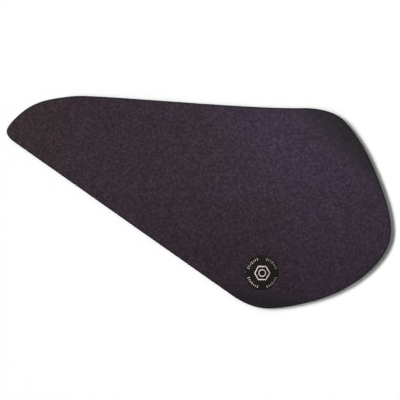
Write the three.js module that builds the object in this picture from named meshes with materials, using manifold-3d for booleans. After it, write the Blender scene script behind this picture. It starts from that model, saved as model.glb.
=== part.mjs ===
// Knee grip pad for the side of a motorcycle fuel tank.
// A flexible sheet of grained rubber, cut to a long outline with a narrow nose and a broad
// tail, with its grip face rolled over all round and a round domed badge let into a pocket
// above its heel. The back is the flat face that sticks to the tank.
// Millimetres, +Z out of the grip face, +X from the nose to the tail. The origin is the
// middle of the outline's box, on the back.

import * as THREE from 'three';
import { mergeVertices } from 'three/addons/utils/BufferGeometryUtils.js';
import Module from 'manifold-3d';

const wasm = await Module();
wasm.setup();

// Overall sizes
const length = 330;
const height = 182.5;
const thickness = 3;

// Edge of the grip face
const edgeRadius = 1;
const edgeSteps = 5;

// Corners of the outline, each set back from an end of the box that the outline fills
const noseLowDrop = 35;
const noseHighDrop = 26;
const noseReach = 8;
const heelFrontSetback = 120.5;
const heelReach = 19;
const heelRearSetback = 91;
const sweepFront = { setback: 49.5, rise: 10.5 };
const sweepRear = { setback: 18.5, rise: 30 };
const tailLowRise = 54;
const tailHighRise = 79.5;
const rearSide = { setback: 11, drop: 69.5 };
const cornerRear = { setback: 26.5, drop: 37 };
const cornerTop = { setback: 49.5, drop: 10 };
const waist = { setback: 104, drop: 11 };
const crestRearReach = 76;
const crestFrontReach = 53.5;
const shoulder = { reach: 22, drop: 6 };
const curveSteps = 16;

// Badge and its pocket, which the badge fills up to its rim
const badgeDiameter = 29;
const badgeDome = 0.6;
const badgeEdgeRadius = 0.25;
const badgeClearance = 0.3;
const badgeSetback = 110.5;
const badgeRise = 30.5;
const pocketDepth = 1.2;
const roundSteps = 72;
const domeSteps = 8;

// Points closer together than this are one point
const samePoint = 1e-4;

const gripRubber = new THREE.MeshStandardMaterial({ color: 0x392f38, roughness: 0.75, metalness: 0 });
const badgeResin = new THREE.MeshStandardMaterial({ color: 0x17171a, roughness: 0.2, metalness: 0 });

// Distances from the ends of the box, as coordinates
const fromNose = (reach) => reach - length / 2;
const fromTail = (setback) => length / 2 - setback;
const fromTop = (drop) => height / 2 - drop;
const fromBottom = (rise) => rise - height / 2;

function outlineCorners() {
  const corner = (x, y, reach = Infinity) => ({ at: new THREE.Vector2(x, y), reach });
  return [
    corner(fromNose(0), fromTop(noseLowDrop), noseReach),
    corner(fromTail(heelFrontSetback), fromBottom(0), heelReach),
    corner(fromTail(heelRearSetback), fromBottom(0)),
    corner(fromTail(sweepFront.setback), fromBottom(sweepFront.rise)),
    corner(fromTail(sweepRear.setback), fromBottom(sweepRear.rise)),
    corner(fromTail(0), fromBottom(tailLowRise)),
    corner(fromTail(0), fromBottom(tailHighRise)),
    corner(fromTail(rearSide.setback), fromTop(rearSide.drop)),
    corner(fromTail(cornerRear.setback), fromTop(cornerRear.drop)),
    corner(fromTail(cornerTop.setback), fromTop(cornerTop.drop)),
    corner(fromTail(waist.setback), fromTop(waist.drop)),
    corner(fromNose(crestRearReach), fromTop(0)),
    corner(fromNose(crestFrontReach), fromTop(0)),
    corner(fromNose(shoulder.reach), fromTop(shoulder.drop)),
    corner(fromNose(0), fromTop(noseHighDrop)),
  ];
}

// A point on the way from one corner to the next, where the curve round the first one ends.
// A curve takes at most half of the side.
function touchPoint(from, to) {
  const side = from.at.distanceTo(to.at);
  return from.at.clone().lerp(to.at, Math.min(from.reach / side, 0.5));
}

// The outline, anticlockwise from above: a curve round each corner, tangent to both sides
function outlinePoints() {
  const corners = outlineCorners();
  const last = corners.length - 1;
  const shape = new THREE.Shape();
  const start = touchPoint(corners[last], corners[0]);
  shape.moveTo(start.x, start.y);
  corners.forEach((corner, i) => {
    const before = corners[i === 0 ? last : i - 1];
    const after = corners[i === last ? 0 : i + 1];
    const enter = touchPoint(corner, before);
    const leave = touchPoint(corner, after);
    if (enter.distanceTo(shape.currentPoint) > samePoint) shape.lineTo(enter.x, enter.y);
    shape.quadraticCurveTo(corner.at.x, corner.at.y, leave.x, leave.y);
  });
  const points = shape.getPoints(curveSteps);
  if (points[0].distanceTo(points.at(-1)) < samePoint) points.pop();
  return points;
}

// Unit vectors that point out of the outline
function outwardNormals(points) {
  return points.map((point, i) => {
    const before = points[(i + points.length - 1) % points.length];
    const after = points[(i + 1) % points.length];
    return new THREE.Vector2(after.y - before.y, before.x - after.x).normalize();
  });
}

// One closed body from rings of points, bottom first, with a flat cap at each end
function solidFromRings(rings) {
  const count = rings[0].length;
  const vertices = rings.flat().flatMap((v) => [v.x, v.y, v.z]);
  const indices = [];
  for (let r = 0; r < rings.length - 1; r++) {
    for (let i = 0; i < count; i++) {
      const a = r * count + i;
      const b = r * count + (i + 1) % count;
      indices.push(a, b, b + count, a, b + count, a + count);
    }
  }
  const cap = (ring) => THREE.ShapeUtils.triangulateShape(ring.map((v) => new THREE.Vector2(v.x, v.y)), []);
  const top = (rings.length - 1) * count;
  cap(rings[0]).forEach(([a, b, c]) => indices.push(a, c, b));
  cap(rings.at(-1)).forEach(([a, b, c]) => indices.push(top + a, top + b, top + c));
  const geometry = new THREE.BufferGeometry();
  geometry.setAttribute('position', new THREE.Float32BufferAttribute(vertices, 3));
  geometry.setIndex(indices);
  return geometry;
}

// The sheet: its upright edge, the roll at the top of the edge, and the flat grip face
function padSheet() {
  const outline = outlinePoints();
  const normals = outwardNormals(outline);
  const ring = (inset, z) => outline.map((point, i) => {
    const moved = point.clone().addScaledVector(normals[i], -inset);
    return new THREE.Vector3(moved.x, moved.y, z);
  });

  const rings = [ring(0, 0)];
  for (let step = 0; step <= edgeSteps; step++) {
    const angle = (step / edgeSteps) * Math.PI / 2;
    const inset = edgeRadius * (1 - Math.cos(angle));
    rings.push(ring(inset, thickness - edgeRadius * (1 - Math.sin(angle))));
  }
  return solidFromRings(rings);
}

function toManifold(geometry) {
  const bare = geometry.clone();
  bare.deleteAttribute('normal');
  bare.deleteAttribute('uv');
  const merged = mergeVertices(bare, samePoint);
  return new wasm.Manifold(new wasm.Mesh({
    numProp: 3,
    vertProperties: new Float32Array(merged.attributes.position.array),
    triVerts: new Uint32Array(merged.index.array),
  }));
}

function fromManifold(solid) {
  const { vertProperties, triVerts } = solid.getMesh();
  const geometry = new THREE.BufferGeometry();
  geometry.setAttribute('position', new THREE.BufferAttribute(vertProperties, 3));
  geometry.setIndex(new THREE.BufferAttribute(triVerts, 1));
  geometry.computeVertexNormals();
  return geometry;
}

function padGeometry() {
  const overcut = 1;
  const pocketRadius = badgeDiameter / 2 + badgeClearance;
  const cutter = new THREE.CylinderGeometry(pocketRadius, pocketRadius, pocketDepth + overcut, roundSteps);
  cutter.rotateX(Math.PI / 2);
  cutter.translate(badgeX, badgeY, pocketFloor + (pocketDepth + overcut) / 2);
  return fromManifold(toManifold(padSheet()).subtract(toManifold(cutter)));
}

// A disc with an upright rim, a small round at the top of the rim, and a shallow dome
function badgeGeometry() {
  const radius = badgeDiameter / 2;
  const crown = radius - badgeEdgeRadius;
  const profile = [new THREE.Vector2(0, 0), new THREE.Vector2(radius, 0)];
  for (let step = 0; step <= edgeSteps; step++) {
    const angle = (step / edgeSteps) * Math.PI / 2;
    profile.push(new THREE.Vector2(
      crown + badgeEdgeRadius * Math.cos(angle),
      pocketDepth - badgeEdgeRadius * (1 - Math.sin(angle)),
    ));
  }
  for (let step = 1; step <= domeSteps; step++) {
    const share = 1 - step / domeSteps;
    profile.push(new THREE.Vector2(crown * share, pocketDepth + badgeDome * (1 - share * share)));
  }
  const disc = new THREE.LatheGeometry(profile, roundSteps);
  disc.rotateX(Math.PI / 2);
  return disc;
}

const badgeX = fromTail(badgeSetback);
const badgeY = fromBottom(badgeRise);
const pocketFloor = thickness - pocketDepth;

const pad = new THREE.Mesh(padGeometry(), gripRubber);
pad.name = 'grip_pad';

const badge = new THREE.Mesh(badgeGeometry(), badgeResin);
badge.name = 'badge';
badge.position.set(badgeX, badgeY, pocketFloor);

const tankGrip = new THREE.Group();
tankGrip.add(pad, badge);

export default tankGrip;
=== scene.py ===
# Knee grip pad for the side of a motorcycle fuel tank, dressed and lit as in the photograph.
# A flat sheet of grained rubber with a round domed badge let into its face, lying on a white
# floor and seen from straight above. Lengths are in metres, in the CAD model's frame: +X from
# the nose to the tail, +Z out of the grip face.

import math

import bpy
import numpy as np
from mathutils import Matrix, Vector, kdtree, noise
from mathutils.geometry import delaunay_2d_cdt


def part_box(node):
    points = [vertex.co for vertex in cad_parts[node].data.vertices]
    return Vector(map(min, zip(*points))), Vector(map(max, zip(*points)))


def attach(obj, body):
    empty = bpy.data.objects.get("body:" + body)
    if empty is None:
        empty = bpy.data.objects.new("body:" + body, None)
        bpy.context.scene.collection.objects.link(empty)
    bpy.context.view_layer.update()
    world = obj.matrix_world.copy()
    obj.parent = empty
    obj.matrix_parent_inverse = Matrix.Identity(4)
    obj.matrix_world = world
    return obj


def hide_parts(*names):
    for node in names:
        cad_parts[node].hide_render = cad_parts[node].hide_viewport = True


MM = 0.001

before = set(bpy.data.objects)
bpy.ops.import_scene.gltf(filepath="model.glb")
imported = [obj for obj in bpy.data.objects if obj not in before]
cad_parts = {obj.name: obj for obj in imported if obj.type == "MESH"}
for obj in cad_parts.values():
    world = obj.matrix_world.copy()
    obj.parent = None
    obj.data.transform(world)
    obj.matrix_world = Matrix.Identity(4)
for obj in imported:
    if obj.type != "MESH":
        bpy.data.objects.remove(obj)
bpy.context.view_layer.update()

# Sizes read from the CAD model
pad_low, pad_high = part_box("grip_pad")
badge_low, badge_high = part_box("badge")
THICKNESS = pad_high.z - pad_low.z
BADGE_CENTRE = Vector(((badge_low.x + badge_high.x) / 2, (badge_low.y + badge_high.y) / 2))
BADGE_RADIUS = (badge_high.x - badge_low.x) / 2
POCKET_FLOOR = badge_low.z
BADGE_TOP = badge_high.z

# Edge of the sheet, from the floor up
OUTLINE_STEP = 0.8 * MM
OUTLINE_SMOOTHING = 1.2 * MM
FOOT_ROUND = 0.15 * MM
EDGE_RADIUS = 1.0 * MM
EDGE_STEPS = 7
SMOOTH_ANGLE = math.radians(35)

# Zones at the tail corner and at the heel where the face is plainer and darker: bearing in
# degrees from +X, and how far in from the outline each zone starts
PLAIN_ZONES = ((45, 33 * MM), (-100, 20 * MM))

# Grain moulded into the face: spacing of the face's points, size and height of its pebbles,
# and the width of the margin where it fades out
LATTICE_STEP = 0.74 * MM
LATTICE_JITTER = 0.12
EDGE_MARGIN = 0.45 * MM
GRAIN_SIZE = 3.0 * MM
FINE_GRAIN_SIZE = 1.7 * MM
GRAIN_HEIGHT = 0.09 * MM
FINE_GRAIN_SHARE = 0.6
GRAIN_FADE = 2.0 * MM
GRAIN_SEED = 7

# Rubber: its tints, and the sizes of their clouds, speckles, flecks, pebbles and dust
WARM_TINT = (52.3, 41.5, 51.3)
BROWN_TINT = (52, 41.5, 45)
VIOLET_TINT = (54.5, 43.5, 57)
SLATE_TINT = (44.5, 39.5, 48)
NEUTRAL_TINT = (38.5, 35, 38)
SMOOTH_EDGE_TINT = (26, 24, 26)
CLOUD_SIZE = 44 * MM
SPECKLE_SIZE = 1.9 * MM
FLECK_SIZE = 1.3 * MM
PEBBLE_SIZE = 1.8 * MM
DUST_SIZE = 0.7 * MM

# Where the rubber's tint changes, as places in the CAD model's frame: the brown nose in X, painted
# shade towards the bottom in Y, the violet tail and painted light on it along a slanting line, and a
# spot of painted sheen. A gain is the factor on the tint at the full end of its band.
NOSE_BAND = (-140 * MM, -85 * MM)
PAINTED_SHADE_BAND = (-90 * MM, 20 * MM)
PAINTED_SHADE_GAIN = 0.7
TAIL_WAY = (1, 0.5, 0)
VIOLET_BAND = (20 * MM, 85 * MM)
VIOLET_DRIFT = 30 * MM
PAINTED_LIGHT_BAND = (-30 * MM, 100 * MM)
PAINTED_LIGHT_GAIN = 1.04
PAINTED_SHEEN_SPOT = (66 * MM, 75 * MM, 0)
PAINTED_SHEEN_BAND = (20 * MM, 110 * MM)
PAINTED_SHEEN_GAIN = 1.1

# Share of the way into a plain zone over which the tint turns to slate, then to neutral grey, and
# the speckles calm down. A swing is how far speckles and flecks move the tint, as an exponent.
SLATE_BAND = (0.1, 0.7)
NEUTRAL_BAND = (0.35, 0.9)
CALM_BAND = (0.0, 0.5)
CALM_SHARE = 0.5
SPECKLE_SWING = 0.44
FLECK_SWING = 0.4

# Badge and its pocket
POCKET_CLEARANCE = 0.3 * MM
POCKET_ROUND = 0.25 * MM
POCKET_ROUND_STEPS = 4
POCKET_SEGMENTS = 128
BADGE_EDGE_RADIUS = 0.25 * MM
BADGE_SEGMENTS = 160
DOME_STEPS = 20

# Print on the badge: a hexagon nut inside a ring of graduations in four groups
INK_LIFT = 0.03 * MM
INK_SINK = 0.05 * MM
NUT_ACROSS_FLATS = 12.0 * MM
NUT_LINE = 0.86 * MM
THREAD_RADIUS = 3.2 * MM
THREAD_LINE = 0.7 * MM
RING_RADIUS = 12.4 * MM
TICK_GROUPS = 4
TICKS_IN_GROUP = 7
TICK_PITCH = math.radians(8.6)
TICK_WIDTH = 0.45 * MM
TICK_LONG = 2.1 * MM
TICK_SHORT = 1.5 * MM
LONG_TICK_EVERY = 3
GROUPS_TURN = math.radians(45)
TICK_ROWS = 4
TICK_COLUMNS = 3
RING_SEGMENTS = 96
RING_ROWS = 4

# Windows that light the sheet: the bearing of each in degrees from +X, and its share of the light.
# The width is an angle in radians.
WINDOWS = ((112, 0.04), (145, 0.2), (163, 0.49), (184, 0.17), (210, 0.1))
WINDOW_ELEVATION = 28.4
WINDOW_WIDTH = 0.21
WINDOW_ENERGY = 5.89

# Softbox over the tail
SOFTBOX_DIAMETER = 0.24
SOFTBOX_ENERGY = 0.12
SOFTBOX_PLACE = Vector((0.155, 0.163, 0.6))
SOFTBOX_AIM = Vector((0.10, 0.08, 0))

# Room: its plain level, the level of the pale strip at the horizon, how high the strip fades out
# as the Z of a unit vector, and the light that the side past the tail adds between two X of it
ROOM_LEVEL = 0.085
STRIP_LEVEL = 0.8
STRIP_TOP = 0.12
TAIL_SIDE_LEVEL = 0.16
TAIL_SIDE_BAND = (0.2, 0.8)
FLOOR_HALF = 12.0
FLOOR_WHITE = 0.97

# Camera straight above the sheet. The frame's width is measured at the top of the sheet's wall.
CAMERA_LENS = 100
CAMERA_SENSOR = 36
FRAME_WIDTH = 343.4 * MM
LOOK_AT = (1.15 * MM, 1.82 * MM)


def linear(red, green, blue):
    """A screen colour, 0 to 255, as the linear RGBA that shaders take."""
    def channel(value):
        share = value / 255
        return share / 12.92 if share <= 0.04045 else ((share + 0.055) / 1.055) ** 2.4
    return (channel(red), channel(green), channel(blue), 1.0)


# Outline of the sheet

def cad_outline():
    """The corners of the sheet's flat back, in order round it."""
    near_floor = 1e-6
    digits = 7
    back = {
        (round(v.co.x, digits), round(v.co.y, digits))
        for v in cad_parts["grip_pad"].data.vertices
        if v.co.z < near_floor
    }
    return np.array(sorted(back, key=lambda point: math.atan2(point[1], point[0])))


def smooth_outline(corners):
    """The outline at even steps, with the small facets between its corners rounded off."""
    closed = np.vstack([corners, corners[:1]])
    sides = np.linalg.norm(np.diff(closed, axis=0), axis=1)
    along = np.concatenate([[0], np.cumsum(sides)])
    count = round(along[-1] / OUTLINE_STEP)
    stops = np.arange(count) * along[-1] / count
    even = np.column_stack([np.interp(stops, along, closed[:, k]) for k in (0, 1)])
    reach = math.ceil(3 * OUTLINE_SMOOTHING / OUTLINE_STEP)
    shifts = np.arange(-reach, reach + 1)
    weights = np.exp(-0.5 * (shifts * OUTLINE_STEP / OUTLINE_SMOOTHING) ** 2)
    weights /= weights.sum()
    return sum(w * np.roll(even, s, axis=0) for w, s in zip(weights, shifts))


def outward_normals(ring):
    tangent = np.roll(ring, -1, axis=0) - np.roll(ring, 1, axis=0)
    normal = np.column_stack([tangent[:, 1], -tangent[:, 0]])
    return normal / np.linalg.norm(normal, axis=1, keepdims=True)


def plain_share(outline, points):
    """How far into a plain zone each point lies, from 0 at its start to 1 at the outline."""
    shares = []
    for bearing, reach in PLAIN_ZONES:
        angle = math.radians(bearing)
        way = np.array([math.cos(angle), math.sin(angle)])
        start = (outline @ way).max() - reach
        shares.append(np.clip((points @ way - start) / reach, 0, 1))
    return np.max(shares, axis=0)


# Mesh building

def add_ring_faces(faces, outer, inner, count):
    """Quads between two closed rings, given by the index of their first point."""
    for i in range(count):
        after = (i + 1) % count
        faces.append((outer + i, outer + after, inner + after, inner + i))


def make_object(name, points, faces, materials, material_index=None):
    mesh = bpy.data.meshes.new(name)
    mesh.from_pydata([tuple(p) for p in points], [], faces)
    for material in materials:
        mesh.materials.append(material)
    if material_index is not None:
        mesh.polygons.foreach_set("material_index", material_index)
    mesh.shade_smooth()
    mesh.set_sharp_from_angle(angle=SMOOTH_ANGLE)
    mesh.update()
    piece = bpy.data.objects.new(name, mesh)
    bpy.context.scene.collection.objects.link(piece)
    return piece


def edge_profile():
    """Inset and height of each ring from the sheet's foot to the brim of its face."""
    profile = [(FOOT_ROUND, 0.0), (0.0, FOOT_ROUND), (0.0, THICKNESS / 3)]
    for step in range(EDGE_STEPS + 1):
        angle = step / EDGE_STEPS * math.pi / 2
        inset = EDGE_RADIUS * (1 - math.cos(angle))
        profile.append((inset, THICKNESS - EDGE_RADIUS * (1 - math.sin(angle))))
    return profile


def pocket_profile():
    """Radius and height of each ring from the face down into the badge's pocket."""
    radius = BADGE_RADIUS + POCKET_CLEARANCE
    profile = []
    for step in range(POCKET_ROUND_STEPS + 1):
        angle = step / POCKET_ROUND_STEPS * math.pi / 2
        profile.append((
            radius + POCKET_ROUND * (1 - math.sin(angle)),
            THICKNESS - POCKET_ROUND * (1 - math.cos(angle)),
        ))
    profile.append((radius, POCKET_FLOOR))
    return profile


def circle(radius, segments):
    turn = np.arange(segments) * 2 * math.pi / segments
    return np.array(BADGE_CENTRE) + radius * np.column_stack([np.cos(turn), np.sin(turn)])


def face_lattice(brim, normals, pocket_rim):
    """Points of a slightly uneven triangular lattice, inside the brim and outside the pocket."""
    low = brim.min(axis=0)
    high = brim.max(axis=0)
    row_step = LATTICE_STEP * math.sqrt(3) / 2
    x, y = np.meshgrid(np.arange(low[0], high[0], LATTICE_STEP), np.arange(low[1], high[1], row_step))
    x[1::2] += LATTICE_STEP / 2
    points = np.column_stack([x.ravel(), y.ravel()])
    shake = np.random.default_rng(GRAIN_SEED).uniform(-1, 1, points.shape)
    points += shake * LATTICE_JITTER * LATTICE_STEP

    tree = kdtree.KDTree(len(brim))
    for i, (bx, by) in enumerate(brim):
        tree.insert((bx, by, 0), i)
    tree.balance()
    kept = []
    for px, py in points:
        spot, i, _ = tree.find((px, py, 0))
        depth = (spot.x - px) * normals[i][0] + (spot.y - py) * normals[i][1]
        kept.append(depth > EDGE_MARGIN)
    points = points[np.array(kept)]
    off_badge = np.linalg.norm(points - np.array(BADGE_CENTRE), axis=1)
    return points[off_badge > pocket_rim + EDGE_MARGIN]


def grain(points):
    """Height of the moulded grain at each point, from about -1 to 1."""
    heights = []
    for x, y in points:
        coarse = noise.noise(Vector((x / GRAIN_SIZE, y / GRAIN_SIZE, GRAIN_SEED)))
        fine = noise.noise(Vector((x / FINE_GRAIN_SIZE, y / FINE_GRAIN_SIZE, -GRAIN_SEED)))
        heights.append(coarse + FINE_GRAIN_SHARE * fine)
    return np.array(heights)


def grain_fade(outline, points):
    """0 at the outline and 1 where the face has its full grain."""
    tree = kdtree.KDTree(len(outline))
    for i, (x, y) in enumerate(outline):
        tree.insert((x, y, 0), i)
    tree.balance()
    distance = np.array([tree.find((x, y, 0))[2] for x, y in points])
    share = np.clip(distance / GRAIN_FADE, 0, 1)
    return share * share * (3 - 2 * share)


def make_pad(face_material, back_material):
    outline = smooth_outline(cad_outline())
    normals = outward_normals(outline)
    count = len(outline)

    flat = []
    heights = []
    faces = []
    profile = edge_profile()
    for inset, height in profile:
        ring = outline - inset * normals
        flat.append(ring)
        heights.append(np.full(count, height))
    for r in range(len(profile) - 1):
        add_ring_faces(faces, r * count, (r + 1) * count, count)
    brim_start = (len(profile) - 1) * count
    brim = flat[-1]

    pocket_start = len(profile) * count
    pocket = pocket_profile()
    for radius, height in pocket:
        flat.append(circle(radius, POCKET_SEGMENTS))
        heights.append(np.full(POCKET_SEGMENTS, height))
    for r in range(len(pocket) - 1):
        ring_start = pocket_start + r * POCKET_SEGMENTS
        add_ring_faces(faces, ring_start, ring_start + POCKET_SEGMENTS, POCKET_SEGMENTS)
    floor_start = pocket_start + (len(pocket) - 1) * POCKET_SEGMENTS
    faces.append(tuple(floor_start + i for i in range(POCKET_SEGMENTS)))

    lattice = face_lattice(brim, normals, pocket[0][0])
    lattice_start = pocket_start + len(pocket) * POCKET_SEGMENTS
    flat.append(lattice)
    heights.append(np.full(len(lattice), THICKNESS))

    # The face: triangles between the brim, the pocket's rim and the lattice
    rim = flat[len(profile)]
    corners = np.vstack([brim, rim, lattice])
    index = np.concatenate([
        brim_start + np.arange(count),
        pocket_start + np.arange(POCKET_SEGMENTS),
        lattice_start + np.arange(len(lattice)),
    ])
    edges = [(i, (i + 1) % count) for i in range(count)]
    edges += [(count + i, count + (i + 1) % POCKET_SEGMENTS) for i in range(POCKET_SEGMENTS)]
    inside_constraints = 1
    tolerance = 1e-9
    made = delaunay_2d_cdt([Vector(c) for c in corners], edges, [], inside_constraints, tolerance)
    _, _, triangles, origins, _, _ = made
    source = [origin[0] for origin in origins]
    rim_points = range(count, count + POCKET_SEGMENTS)
    for triangle in triangles:
        whole = [source[v] for v in triangle]
        if not all(v in rim_points for v in whole):
            faces.append(tuple(int(index[v]) for v in whole))

    face_count = len(faces)
    faces.append(tuple(range(count - 1, -1, -1)))
    material_index = [0] * face_count + [1]

    flat = np.vstack(flat)
    heights = np.concatenate(heights)
    on_top = heights > THICKNESS - EDGE_RADIUS / 2
    fade = np.where(on_top, grain_fade(outline, flat), 0)
    in_pocket = slice(pocket_start, lattice_start)
    fade[in_pocket] = 0
    z = heights + GRAIN_HEIGHT * fade * grain(flat)

    # The rim of the pocket is smooth but has the face's colour
    rounded_rim = slice(pocket_start, pocket_start + POCKET_ROUND_STEPS * POCKET_SEGMENTS)
    fade[rounded_rim] = 1
    pad = make_object(
        "rubber_sheet", np.column_stack([flat, z]), faces, [face_material, back_material], material_index,
    )
    for name, values in (("grained", fade), ("plain", plain_share(outline, flat))):
        attribute = pad.data.attributes.new(name, "FLOAT", "POINT")
        attribute.data.foreach_set("value", values)
    return pad


# Badge

def dome_height(radius):
    """Height of the badge's top at a distance from its centre."""
    crown = BADGE_RADIUS - BADGE_EDGE_RADIUS
    return THICKNESS + (BADGE_TOP - THICKNESS) * (1 - (radius / crown) ** 2)


def make_badge(material):
    crown = BADGE_RADIUS - BADGE_EDGE_RADIUS
    profile = [(BADGE_RADIUS, POCKET_FLOOR)]
    for step in range(EDGE_STEPS + 1):
        angle = step / EDGE_STEPS * math.pi / 2
        profile.append((
            crown + BADGE_EDGE_RADIUS * math.cos(angle),
            THICKNESS - BADGE_EDGE_RADIUS * (1 - math.sin(angle)),
        ))
    for step in range(1, DOME_STEPS):
        radius = crown * (1 - step / DOME_STEPS)
        profile.append((radius, dome_height(radius)))
    points = []
    faces = []
    for radius, height in profile:
        points += [(x, y, height) for x, y in circle(radius, BADGE_SEGMENTS)]
    for r in range(len(profile) - 1):
        add_ring_faces(faces, r * BADGE_SEGMENTS, (r + 1) * BADGE_SEGMENTS, BADGE_SEGMENTS)
    top = len(points)
    points.append((BADGE_CENTRE.x, BADGE_CENTRE.y, BADGE_TOP))
    last = top - BADGE_SEGMENTS
    faces += [(last + i, last + (i + 1) % BADGE_SEGMENTS, top) for i in range(BADGE_SEGMENTS)]
    faces.append(tuple(range(BADGE_SEGMENTS - 1, -1, -1)))
    return make_object("badge_disc", points, faces, [material])


def ink_patch(points, faces, rows):
    """Adds a closed slip of ink that follows the dome. Its rows are lists of places on the badge."""
    start = len(points)
    wide = len(rows[0])
    tall = len(rows)
    for lift in (INK_LIFT, -INK_SINK):
        for row in rows:
            for x, y in row:
                points.append((BADGE_CENTRE.x + x, BADGE_CENTRE.y + y, dome_height(math.hypot(x, y)) + lift))
    layer = wide * tall

    def corner(row, column, under=False):
        return start + row * wide + column + (layer if under else 0)

    for r in range(tall - 1):
        for c in range(wide - 1):
            quad = [(r, c), (r, c + 1), (r + 1, c + 1), (r + 1, c)]
            faces.append(tuple(corner(*q) for q in quad))
            faces.append(tuple(corner(*q, under=True) for q in reversed(quad)))
    border = [(0, c) for c in range(wide - 1)] + [(r, wide - 1) for r in range(tall - 1)]
    border += [(tall - 1, c) for c in range(wide - 1, 0, -1)] + [(r, 0) for r in range(tall - 1, 0, -1)]
    for here, there in zip(border, border[1:] + border[:1]):
        faces.append((corner(*there), corner(*here), corner(*here, under=True), corner(*there, under=True)))


def tick_rows(bearing, tall):
    """Rows of a graduation mark that points out from the badge's centre."""
    out = np.array([math.cos(bearing), math.sin(bearing)])
    side = np.array([-out[1], out[0]])
    radii = np.linspace(RING_RADIUS - tall / 2, RING_RADIUS + tall / 2, TICK_ROWS)
    offsets = np.linspace(TICK_WIDTH / 2, -TICK_WIDTH / 2, TICK_COLUMNS)
    return [[out * radius + side * offset for offset in offsets] for radius in radii]


def hexagon(angle):
    """Distance from the centre of the nut to its side, at an angle from the middle of a flat."""
    side = math.pi / 3
    from_flat = (angle + side / 2) % side - side / 2
    return NUT_ACROSS_FLATS / 2 / math.cos(from_flat)


def ink_ring(points, faces, outer, line):
    """Adds a closed ring of ink. Its outer edge is a function of the angle."""
    shares = np.linspace(0, 1, RING_ROWS)
    start = len(points)
    for lift in (INK_LIFT, -INK_SINK):
        for share in shares:
            for i in range(RING_SEGMENTS):
                angle = 2 * math.pi * i / RING_SEGMENTS
                rim = outer(angle)
                radius = rim * (1 - share * line / outer(0))
                turned = angle + math.pi / 2
                points.append((
                    BADGE_CENTRE.x + radius * math.cos(turned),
                    BADGE_CENTRE.y + radius * math.sin(turned),
                    dome_height(radius) + lift,
                ))
    layer = RING_SEGMENTS * RING_ROWS
    for r in range(RING_ROWS - 1):
        here = start + r * RING_SEGMENTS
        there = here + RING_SEGMENTS
        add_ring_faces(faces, here, there, RING_SEGMENTS)
        add_ring_faces(faces, there + layer, here + layer, RING_SEGMENTS)
    hole = start + (RING_ROWS - 1) * RING_SEGMENTS
    add_ring_faces(faces, start + layer, start, RING_SEGMENTS)
    add_ring_faces(faces, hole, hole + layer, RING_SEGMENTS)


def make_print(material):
    points = []
    faces = []
    ink_ring(points, faces, hexagon, NUT_LINE)
    ink_ring(points, faces, lambda angle: THREAD_RADIUS, THREAD_LINE)
    for group in range(TICK_GROUPS):
        middle = GROUPS_TURN + group * 2 * math.pi / TICK_GROUPS
        for i in range(TICKS_IN_GROUP):
            bearing = middle + (i - (TICKS_IN_GROUP - 1) / 2) * TICK_PITCH
            tall = TICK_LONG if i % LONG_TICK_EVERY == 0 else TICK_SHORT
            ink_patch(points, faces, tick_rows(bearing, tall))
    return make_object("badge_print", points, faces, [material])


# Materials

def start_material(name):
    material = bpy.data.materials.new(name)
    material.use_nodes = True
    material.node_tree.nodes.clear()
    return material, material.node_tree


def add(tree, kind, inputs=None, **settings):
    """A new shader node with its settings, and its inputs set to a value or linked to a socket."""
    made = tree.nodes.new("ShaderNode" + kind)
    for key, value in settings.items():
        setattr(made, key, value)
    for key, value in (inputs or {}).items():
        if isinstance(value, bpy.types.NodeSocket):
            tree.links.new(value, made.inputs[key])
        else:
            made.inputs[key].default_value = value
    return made


def finish_material(tree, shader):
    output = tree.nodes.new("ShaderNodeOutputMaterial")
    tree.links.new(shader.outputs["BSDF"], output.inputs["Surface"])


def place(tree):
    return add(tree, "TexCoord").outputs["Object"]


def noise_at(tree, spot, size, detail=2.0):
    """Noise whose features are about size metres across."""
    made = add(tree, "TexNoise", {"Vector": spot, "Scale": 1 / size, "Detail": detail})
    return made.outputs["Fac"]


def remap(tree, value, low, high, new_low, new_high, shape="LINEAR"):
    made = add(tree, "MapRange", {
        "Value": value, "From Min": low, "From Max": high, "To Min": new_low, "To Max": new_high,
    }, interpolation_type=shape)
    return made.outputs["Result"]


def mix_colour(tree, share, first, second):
    made = add(tree, "Mix", data_type="RGBA")
    for key, value in (("Factor", share), ("A", first), ("B", second)):
        socket = next(s for s in made.inputs if s.name == key and s.enabled)
        if isinstance(value, bpy.types.NodeSocket):
            tree.links.new(value, socket)
        else:
            socket.default_value = value
    return next(s for s in made.outputs if s.enabled)


def calculate(tree, operation, *values):
    made = add(tree, "Math", dict(enumerate(values)), operation=operation)
    return made.outputs["Value"]


def scale_colour(tree, colour, factor):
    """A colour times a number that varies over the surface."""
    made = add(tree, "VectorMath", {0: colour, "Scale": factor}, operation="SCALE")
    return made.outputs["Vector"]


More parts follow.
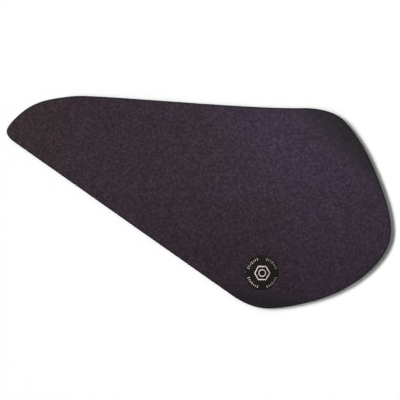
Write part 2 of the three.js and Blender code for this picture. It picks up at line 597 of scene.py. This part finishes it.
def rubber_tint_and_painted_light(tree, spot, plain):
    """Warm rubber with brown clouds and a brown nose, violet at the tail, grey where plain, painted shade
    and sheen.
    """
    sides = add(tree, "SeparateXYZ", {"Vector": spot})
    cloud = noise_at(tree, spot, CLOUD_SIZE, 3.0)
    nose = remap(tree, sides.outputs["X"], *NOSE_BAND, 1, 0)
    brownness = calculate(tree, "MAXIMUM", remap(tree, cloud, 0.42, 0.68, 0, 0.6), nose)
    tint = mix_colour(tree, brownness, linear(*WARM_TINT), linear(*BROWN_TINT))

    slant = add(tree, "VectorMath", {0: spot, 1: TAIL_WAY}, operation="DOT_PRODUCT")
    to_tail = slant.outputs["Value"]
    drift = remap(tree, cloud, 0.3, 0.7, VIOLET_DRIFT, -VIOLET_DRIFT)
    violetness = remap(tree, calculate(tree, "ADD", to_tail, drift), *VIOLET_BAND, 0, 1, "SMOOTHSTEP")
    tint = mix_colour(tree, violetness, tint, linear(*VIOLET_TINT))

    slateness = remap(tree, plain, *SLATE_BAND, 0, 1, "SMOOTHSTEP")
    tint = mix_colour(tree, slateness, tint, linear(*SLATE_TINT))
    greyness = remap(tree, plain, *NEUTRAL_BAND, 0, 1, "SMOOTHSTEP")
    tint = mix_colour(tree, greyness, tint, linear(*NEUTRAL_TINT))

    # Painted shade: the tint grows darker towards the bottom of the face.
    painted_shade = remap(tree, sides.outputs["Y"], *PAINTED_SHADE_BAND, PAINTED_SHADE_GAIN, 1)
    # Painted light: the tint grows lighter towards the tail.
    painted_light = remap(tree, to_tail, *PAINTED_LIGHT_BAND, 1, PAINTED_LIGHT_GAIN)
    # Painted sheen: the tint is lightest round one spot on the upper part of the tail.
    away = add(tree, "VectorMath", {0: spot, 1: PAINTED_SHEEN_SPOT}, operation="DISTANCE")
    painted_sheen = remap(tree, away.outputs["Value"], *PAINTED_SHEEN_BAND, PAINTED_SHEEN_GAIN, 1, "SMOOTHSTEP")
    for factor in (painted_shade, painted_light, painted_sheen):
        tint = scale_colour(tree, tint, factor)
    return tint


def rubber_speckle(tree, spot, plain):
    """A factor about 1 for the speckled grain, calmer where the face is plain."""
    speckles = noise_at(tree, spot, SPECKLE_SIZE, 3.0)
    flecks = noise_at(tree, spot, FLECK_SIZE, 1.0)
    speckle = remap(tree, speckles, 0.32, 0.68, -SPECKLE_SWING, SPECKLE_SWING)
    fleck = remap(tree, flecks, 0.68, 0.8, 0, FLECK_SWING)
    calm = remap(tree, plain, *CALM_BAND, 1, CALM_SHARE)
    swing = calculate(tree, "MULTIPLY", calculate(tree, "ADD", speckle, fleck), calm)
    return calculate(tree, "EXPONENT", swing)


def rubber_face_material():
    material, tree = start_material("grip_rubber")
    spot = place(tree)
    grained = add(tree, "Attribute", attribute_name="grained").outputs["Fac"]
    plain = add(tree, "Attribute", attribute_name="plain").outputs["Fac"]
    tint = scale_colour(tree, rubber_tint_and_painted_light(tree, spot, plain), rubber_speckle(tree, spot, plain))
    colour = mix_colour(tree, grained, linear(*SMOOTH_EDGE_TINT), tint)

    pebbles = add(tree, "TexVoronoi", {
        "Vector": spot, "Scale": 1 / PEBBLE_SIZE, "Smoothness": 0.6,
    }, feature="SMOOTH_F1")
    dust = noise_at(tree, spot, DUST_SIZE, 3.0)
    relief = calculate(tree, "ADD", pebbles.outputs["Distance"], dust)
    bump = add(tree, "Bump", {"Height": relief, "Strength": 0.35, "Distance": 0.15 * MM})
    face_roughness = remap(tree, dust, 0.3, 0.7, 0.36, 0.46)
    roughness = add(tree, "Mix", {"Factor": grained, "A": 0.8, "B": face_roughness})
    shader = add(tree, "BsdfPrincipled", {
        "Base Color": colour, "Roughness": roughness.outputs["Result"],
        "Normal": bump.outputs["Normal"], "IOR": 1.5, "Specular IOR Level": 0.16,
    })
    finish_material(tree, shader)
    return material


def rubber_back_material():
    material, tree = start_material("grip_rubber_back")
    spot = place(tree)
    cloud = noise_at(tree, spot, 12 * MM, 4.0)
    colour = mix_colour(tree, cloud, linear(40, 36, 39), linear(52, 46, 50))
    roughness = remap(tree, cloud, 0, 1, 0.5, 0.7)
    relief = noise_at(tree, spot, 0.8 * MM)
    bump = add(tree, "Bump", {"Height": relief, "Strength": 0.3, "Distance": 0.05 * MM})
    shader = add(tree, "BsdfPrincipled", {
        "Base Color": colour, "Roughness": roughness, "Normal": bump.outputs["Normal"],
    })
    finish_material(tree, shader)
    return material


def badge_resin_material():
    material, tree = start_material("badge_resin")
    spot = place(tree)
    haze = noise_at(tree, spot, 6 * MM, 3.0)
    colour = mix_colour(tree, haze, linear(22, 20, 17.5), linear(31, 28, 24.5))
    roughness = remap(tree, haze, 0.3, 0.7, 0.16, 0.26)
    shader = add(tree, "BsdfPrincipled", {"Base Color": colour, "Roughness": roughness, "IOR": 1.5})
    finish_material(tree, shader)
    return material


def badge_print_material():
    material, tree = start_material("badge_print")
    spot = place(tree)
    fade = remap(tree, noise_at(tree, spot, 1.6 * MM, 3.0), 0.35, 0.65, 0.75, 1.0)
    x = add(tree, "SeparateXYZ", {"Vector": spot}).outputs["X"]
    worn = remap(tree, x, BADGE_CENTRE.x, BADGE_CENTRE.x + BADGE_RADIUS, 1.0, 0.25)
    left = calculate(tree, "MULTIPLY", fade, worn)
    ink = mix_colour(tree, left, linear(20, 20, 20), linear(236, 220, 217))
    shader = add(tree, "BsdfPrincipled", {"Base Color": ink, "Roughness": 0.45})
    finish_material(tree, shader)
    return material


# Floor, light and camera

def floor_material():
    material, tree = start_material("white_floor")
    shader = add(tree, "BsdfPrincipled", {
        "Base Color": (FLOOR_WHITE, FLOOR_WHITE, FLOOR_WHITE, 1), "Roughness": 0.9,
        "Specular IOR Level": 0.0,
    })
    finish_material(tree, shader)
    return material


def make_floor():
    half = FLOOR_HALF
    points = [(-half, -half, 0), (half, -half, 0), (half, half, 0), (-half, half, 0)]
    floor = make_object("floor", points, [(0, 1, 2, 3)], [floor_material()])


def make_world():
    """A dim studio room with a pale strip of wall at the horizon and a paler side past the tail."""
    world = bpy.data.worlds.new("studio")
    world.use_nodes = True
    tree = world.node_tree
    tree.nodes.clear()
    direction = add(tree, "TexCoord").outputs["Generated"]
    sides = add(tree, "SeparateXYZ", {"Vector": direction})
    strip = remap(tree, sides.outputs["Z"], 0.0, STRIP_TOP, STRIP_LEVEL, ROOM_LEVEL)
    tail_side = remap(tree, sides.outputs["X"], *TAIL_SIDE_BAND, 0.0, TAIL_SIDE_LEVEL)
    level = calculate(tree, "ADD", strip, tail_side)
    background = add(tree, "Background", {"Color": (1, 1, 1, 1), "Strength": level})
    output = tree.nodes.new("ShaderNodeOutputWorld")
    tree.links.new(background.outputs["Background"], output.inputs["Surface"])
    bpy.context.scene.world = world


def add_light(name, data, towards_light):
    """Adds a light that shines from the given side."""
    light = bpy.data.objects.new(name, data)
    light.rotation_euler = Vector(towards_light).to_track_quat("Z", "Y").to_euler()
    bpy.context.scene.collection.objects.link(light)
    return light


def make_windows():
    """Far windows in a row beyond the nose, whose soft shadows run into one."""
    rise = math.tan(math.radians(WINDOW_ELEVATION))
    for bearing, share in WINDOWS:
        sun = bpy.data.lights.new(f"window_{bearing}", "SUN")
        sun.angle = WINDOW_WIDTH
        sun.energy = WINDOW_ENERGY * share
        turn = math.radians(bearing)
        add_light(sun.name, sun, (math.cos(turn), math.sin(turn), rise))


def make_softbox():
    """A small softbox over the tail, for the sheen on its upper part."""
    panel = bpy.data.lights.new("softbox", "AREA")
    panel.shape = "DISK"
    panel.size = SOFTBOX_DIAMETER
    panel.energy = SOFTBOX_ENERGY
    softbox = add_light("softbox", panel, SOFTBOX_PLACE - SOFTBOX_AIM)
    softbox.location = SOFTBOX_PLACE


def make_camera():
    wall_top = THICKNESS - EDGE_RADIUS
    data = bpy.data.cameras.new("camera")
    data.lens = CAMERA_LENS
    data.sensor_width = CAMERA_SENSOR
    camera = bpy.data.objects.new("camera", data)
    camera.location = (*LOOK_AT, wall_top + FRAME_WIDTH * CAMERA_LENS / CAMERA_SENSOR)
    bpy.context.scene.collection.objects.link(camera)
    bpy.context.scene.camera = camera


make_camera()
make_world()
make_windows()
make_softbox()
make_floor()

pad = make_pad(rubber_face_material(), rubber_back_material())
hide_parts("grip_pad")
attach(pad, "root")

badge = make_badge(badge_resin_material())
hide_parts("badge")
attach(badge, "root")

badge_print = make_print(badge_print_material())
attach(badge_print, "root")

bpy.context.scene.view_settings.view_transform = "Standard"
